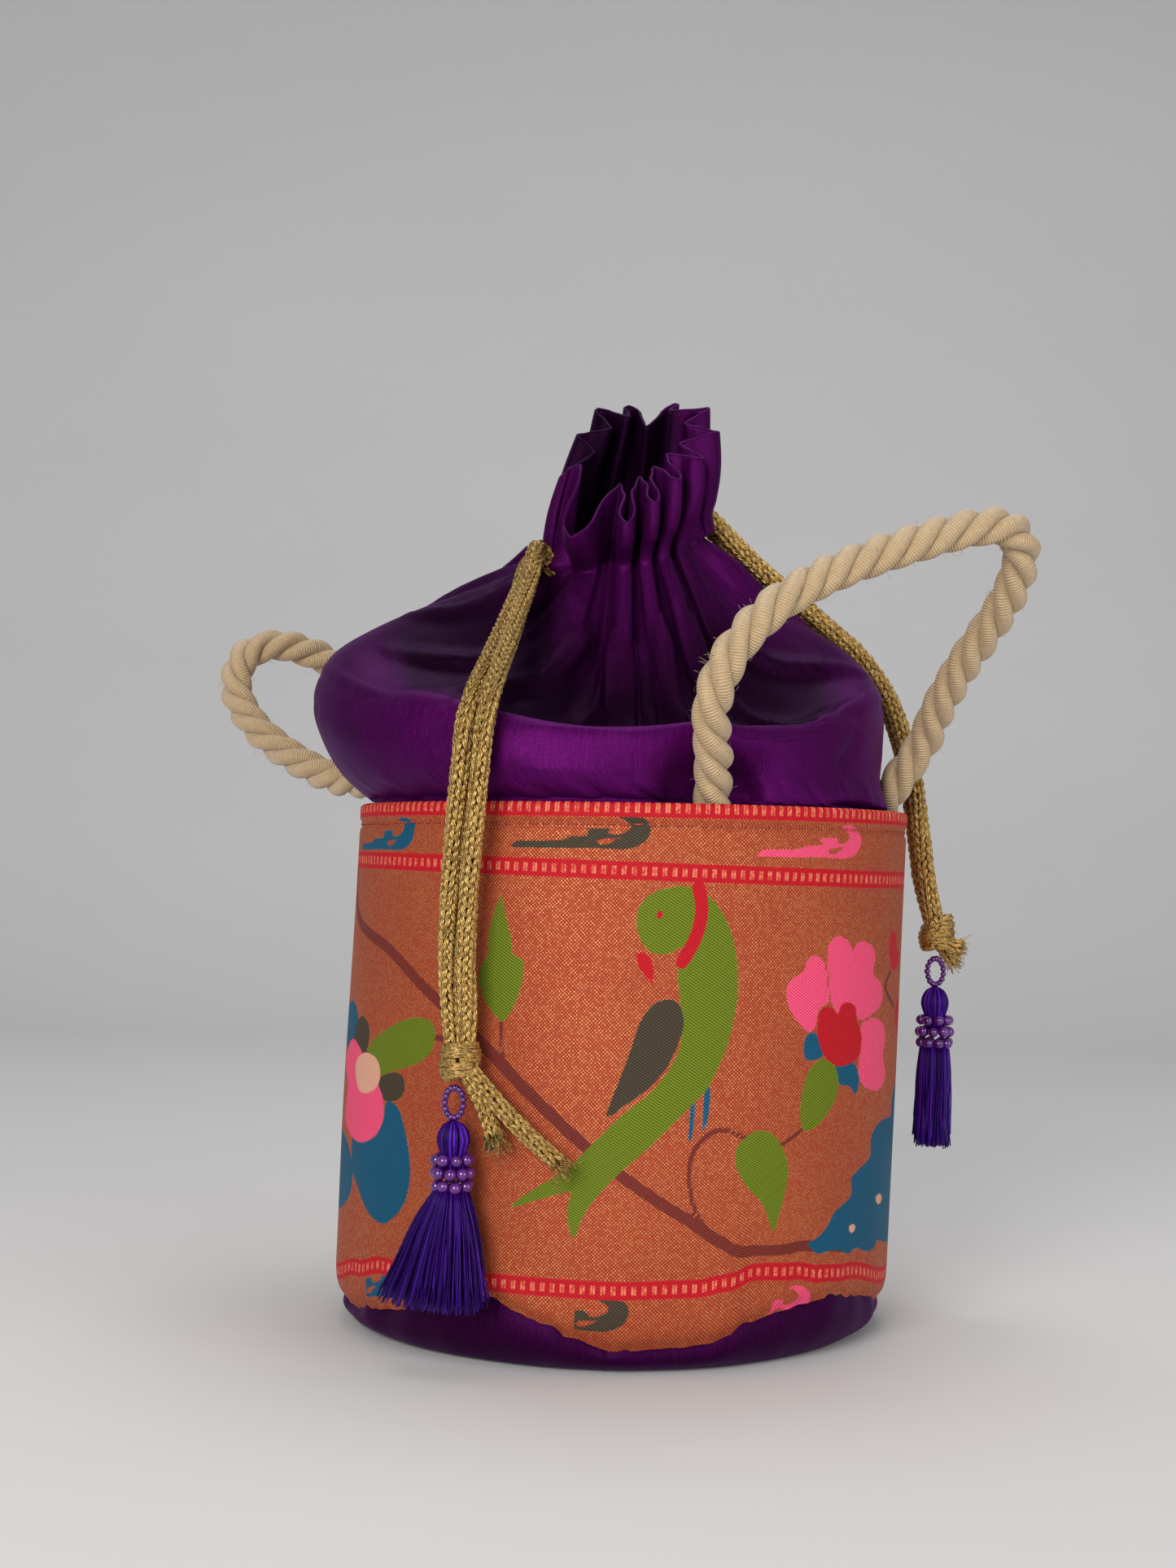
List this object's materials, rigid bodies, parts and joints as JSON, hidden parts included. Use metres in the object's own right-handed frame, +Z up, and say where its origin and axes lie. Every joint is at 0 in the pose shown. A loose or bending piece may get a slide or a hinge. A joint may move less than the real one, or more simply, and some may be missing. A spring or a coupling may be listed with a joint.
{
  "type": "potli bag",
  "caption": "Round drawstring pouch bag with a flat base, brocade body, gathered satin neck, twisted rope handles and braided drawcords ending in beaded tassels.",
  "frame": {"origin": "on the flat underside of the base, on the body's nominal vertical axis", "axes": "+Z up through the gathered neck, -Y towards the front, +X to the right seen from the front"},
  "size_m": [0.2304, 0.1773, 0.2593],
  "materials": {
    "satin": "satin",
    "brocade": "woven",
    "board": "matt",
    "lining": "matt",
    "rope": "satin",
    "braid": "metallic",
    "silk": "satin",
    "beads": "glossy"
  },
  "bodies": {
    "root": {"base_panel": "satin", "base_board": "board", "brocade_band": "brocade", "lining": "lining", "satin_pouch": "satin", "handle_right": "rope", "handle_left": "rope", "drawcord_left": "braid", "drawcord_right": "braid", "tassel_left": "silk", "tassel_right": "silk", "bead_collar_left": "beads", "bead_collar_right": "beads", "bead_loop_left": "beads", "bead_loop_right": "beads"}
  },
  "joints": []
}
